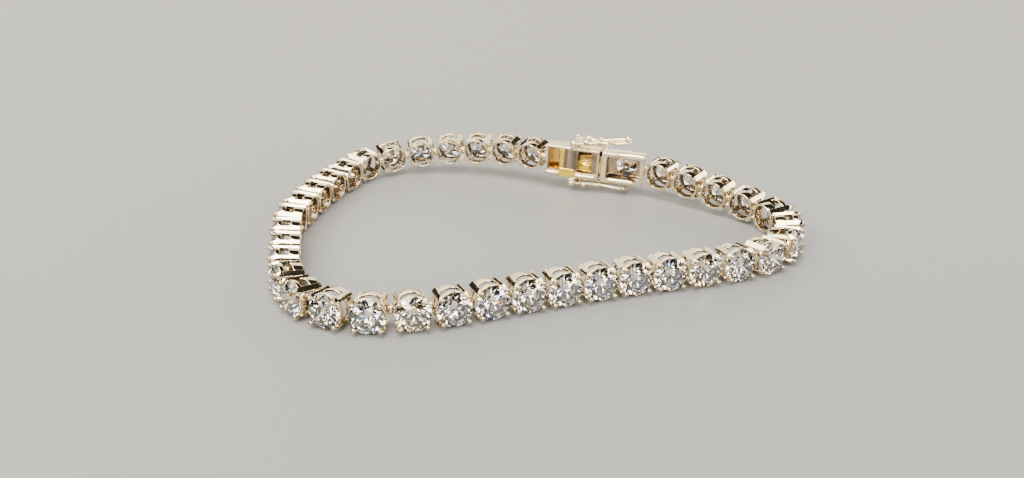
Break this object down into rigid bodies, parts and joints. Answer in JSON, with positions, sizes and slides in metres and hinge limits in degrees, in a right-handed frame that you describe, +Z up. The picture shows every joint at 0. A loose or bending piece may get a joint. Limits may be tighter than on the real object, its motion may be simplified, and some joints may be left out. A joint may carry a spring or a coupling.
{
  "type": "tennis bracelet",
  "caption": "Tennis bracelet of round clear stones in claw settings, hinged into a closed loop with a box clasp and two figure-eight safety catches.",
  "frame": {"origin": "on the floor under the middle of the loop's bounding box, with the bracelet lying on its edge", "axes": "+X along the loop's longer way, +Y away from the long stone row at the front towards the clasp, +Z up, across the width of the chain"},
  "size_m": [0.0676, 0.054, 0.0085],
  "materials": {
    "white_metal": "polished white gold or rhodium-plated silver",
    "gold_metal": "satin yellow inner face of the spring tongue",
    "stone": "clear faceted round brilliant"
  },
  "bodies": {
    "bracelet": {"stone_01": "stone", "stone_02": "stone", "stone_03": "stone", "stone_04": "stone", "stone_05": "stone", "stone_06": "stone", "stone_07": "stone", "stone_08": "stone", "stone_09": "stone", "stone_10": "stone", "stone_11": "stone", "stone_12": "stone", "stone_13": "stone", "stone_14": "stone", "stone_15": "stone", "stone_16": "stone", "stone_17": "stone", "stone_18": "stone", "stone_19": "stone", "stone_20": "stone", "stone_21": "stone", "stone_22": "stone", "stone_23": "stone", "stone_24": "stone", "stone_25": "stone", "stone_26": "stone", "stone_27": "stone", "stone_28": "stone", "stone_29": "stone", "stone_30": "stone", "stone_31": "stone", "stone_32": "stone", "stone_33": "stone", "stone_34": "stone", "stone_35": "stone", "stone_36": "stone", "stone_37": "stone", "clasp_stone_1": "stone", "clasp_stone_2": "stone", "clasp_stone_3": "stone", "chain_run_01": "white_metal", "chain_run_02": "white_metal", "chain_run_03": "white_metal", "chain_run_04": "white_metal", "chain_run_05": "white_metal", "chain_run_06": "white_metal", "chain_run_07": "white_metal", "chain_run_08": "white_metal", "chain_run_09": "white_metal", "chain_run_10": "white_metal", "chain_run_11": "white_metal", "chain_run_12": "white_metal", "chain_run_13": "white_metal", "clasp_box": "white_metal", "clasp_end": "white_metal", "clasp_tongue": "gold_metal"},
    "upper_catch": {"upper_catch": "white_metal"},
    "lower_catch": {"lower_catch": "white_metal"}
  },
  "joints": [
    {"name": "upper_catch_hinge", "type": "hinge", "parent": "bracelet", "child": "upper_catch", "pos_m": [0.00589, 0.01752, 0.00698], "axis": [-0.2725, -0.9622, 0], "range_deg": [0, 95]},
    {"name": "lower_catch_hinge", "type": "hinge", "parent": "bracelet", "child": "lower_catch", "pos_m": [0.0056, 0.0176, 0.00125], "axis": [0.2725, 0.9622, 0], "range_deg": [0, 95]}
  ]
}
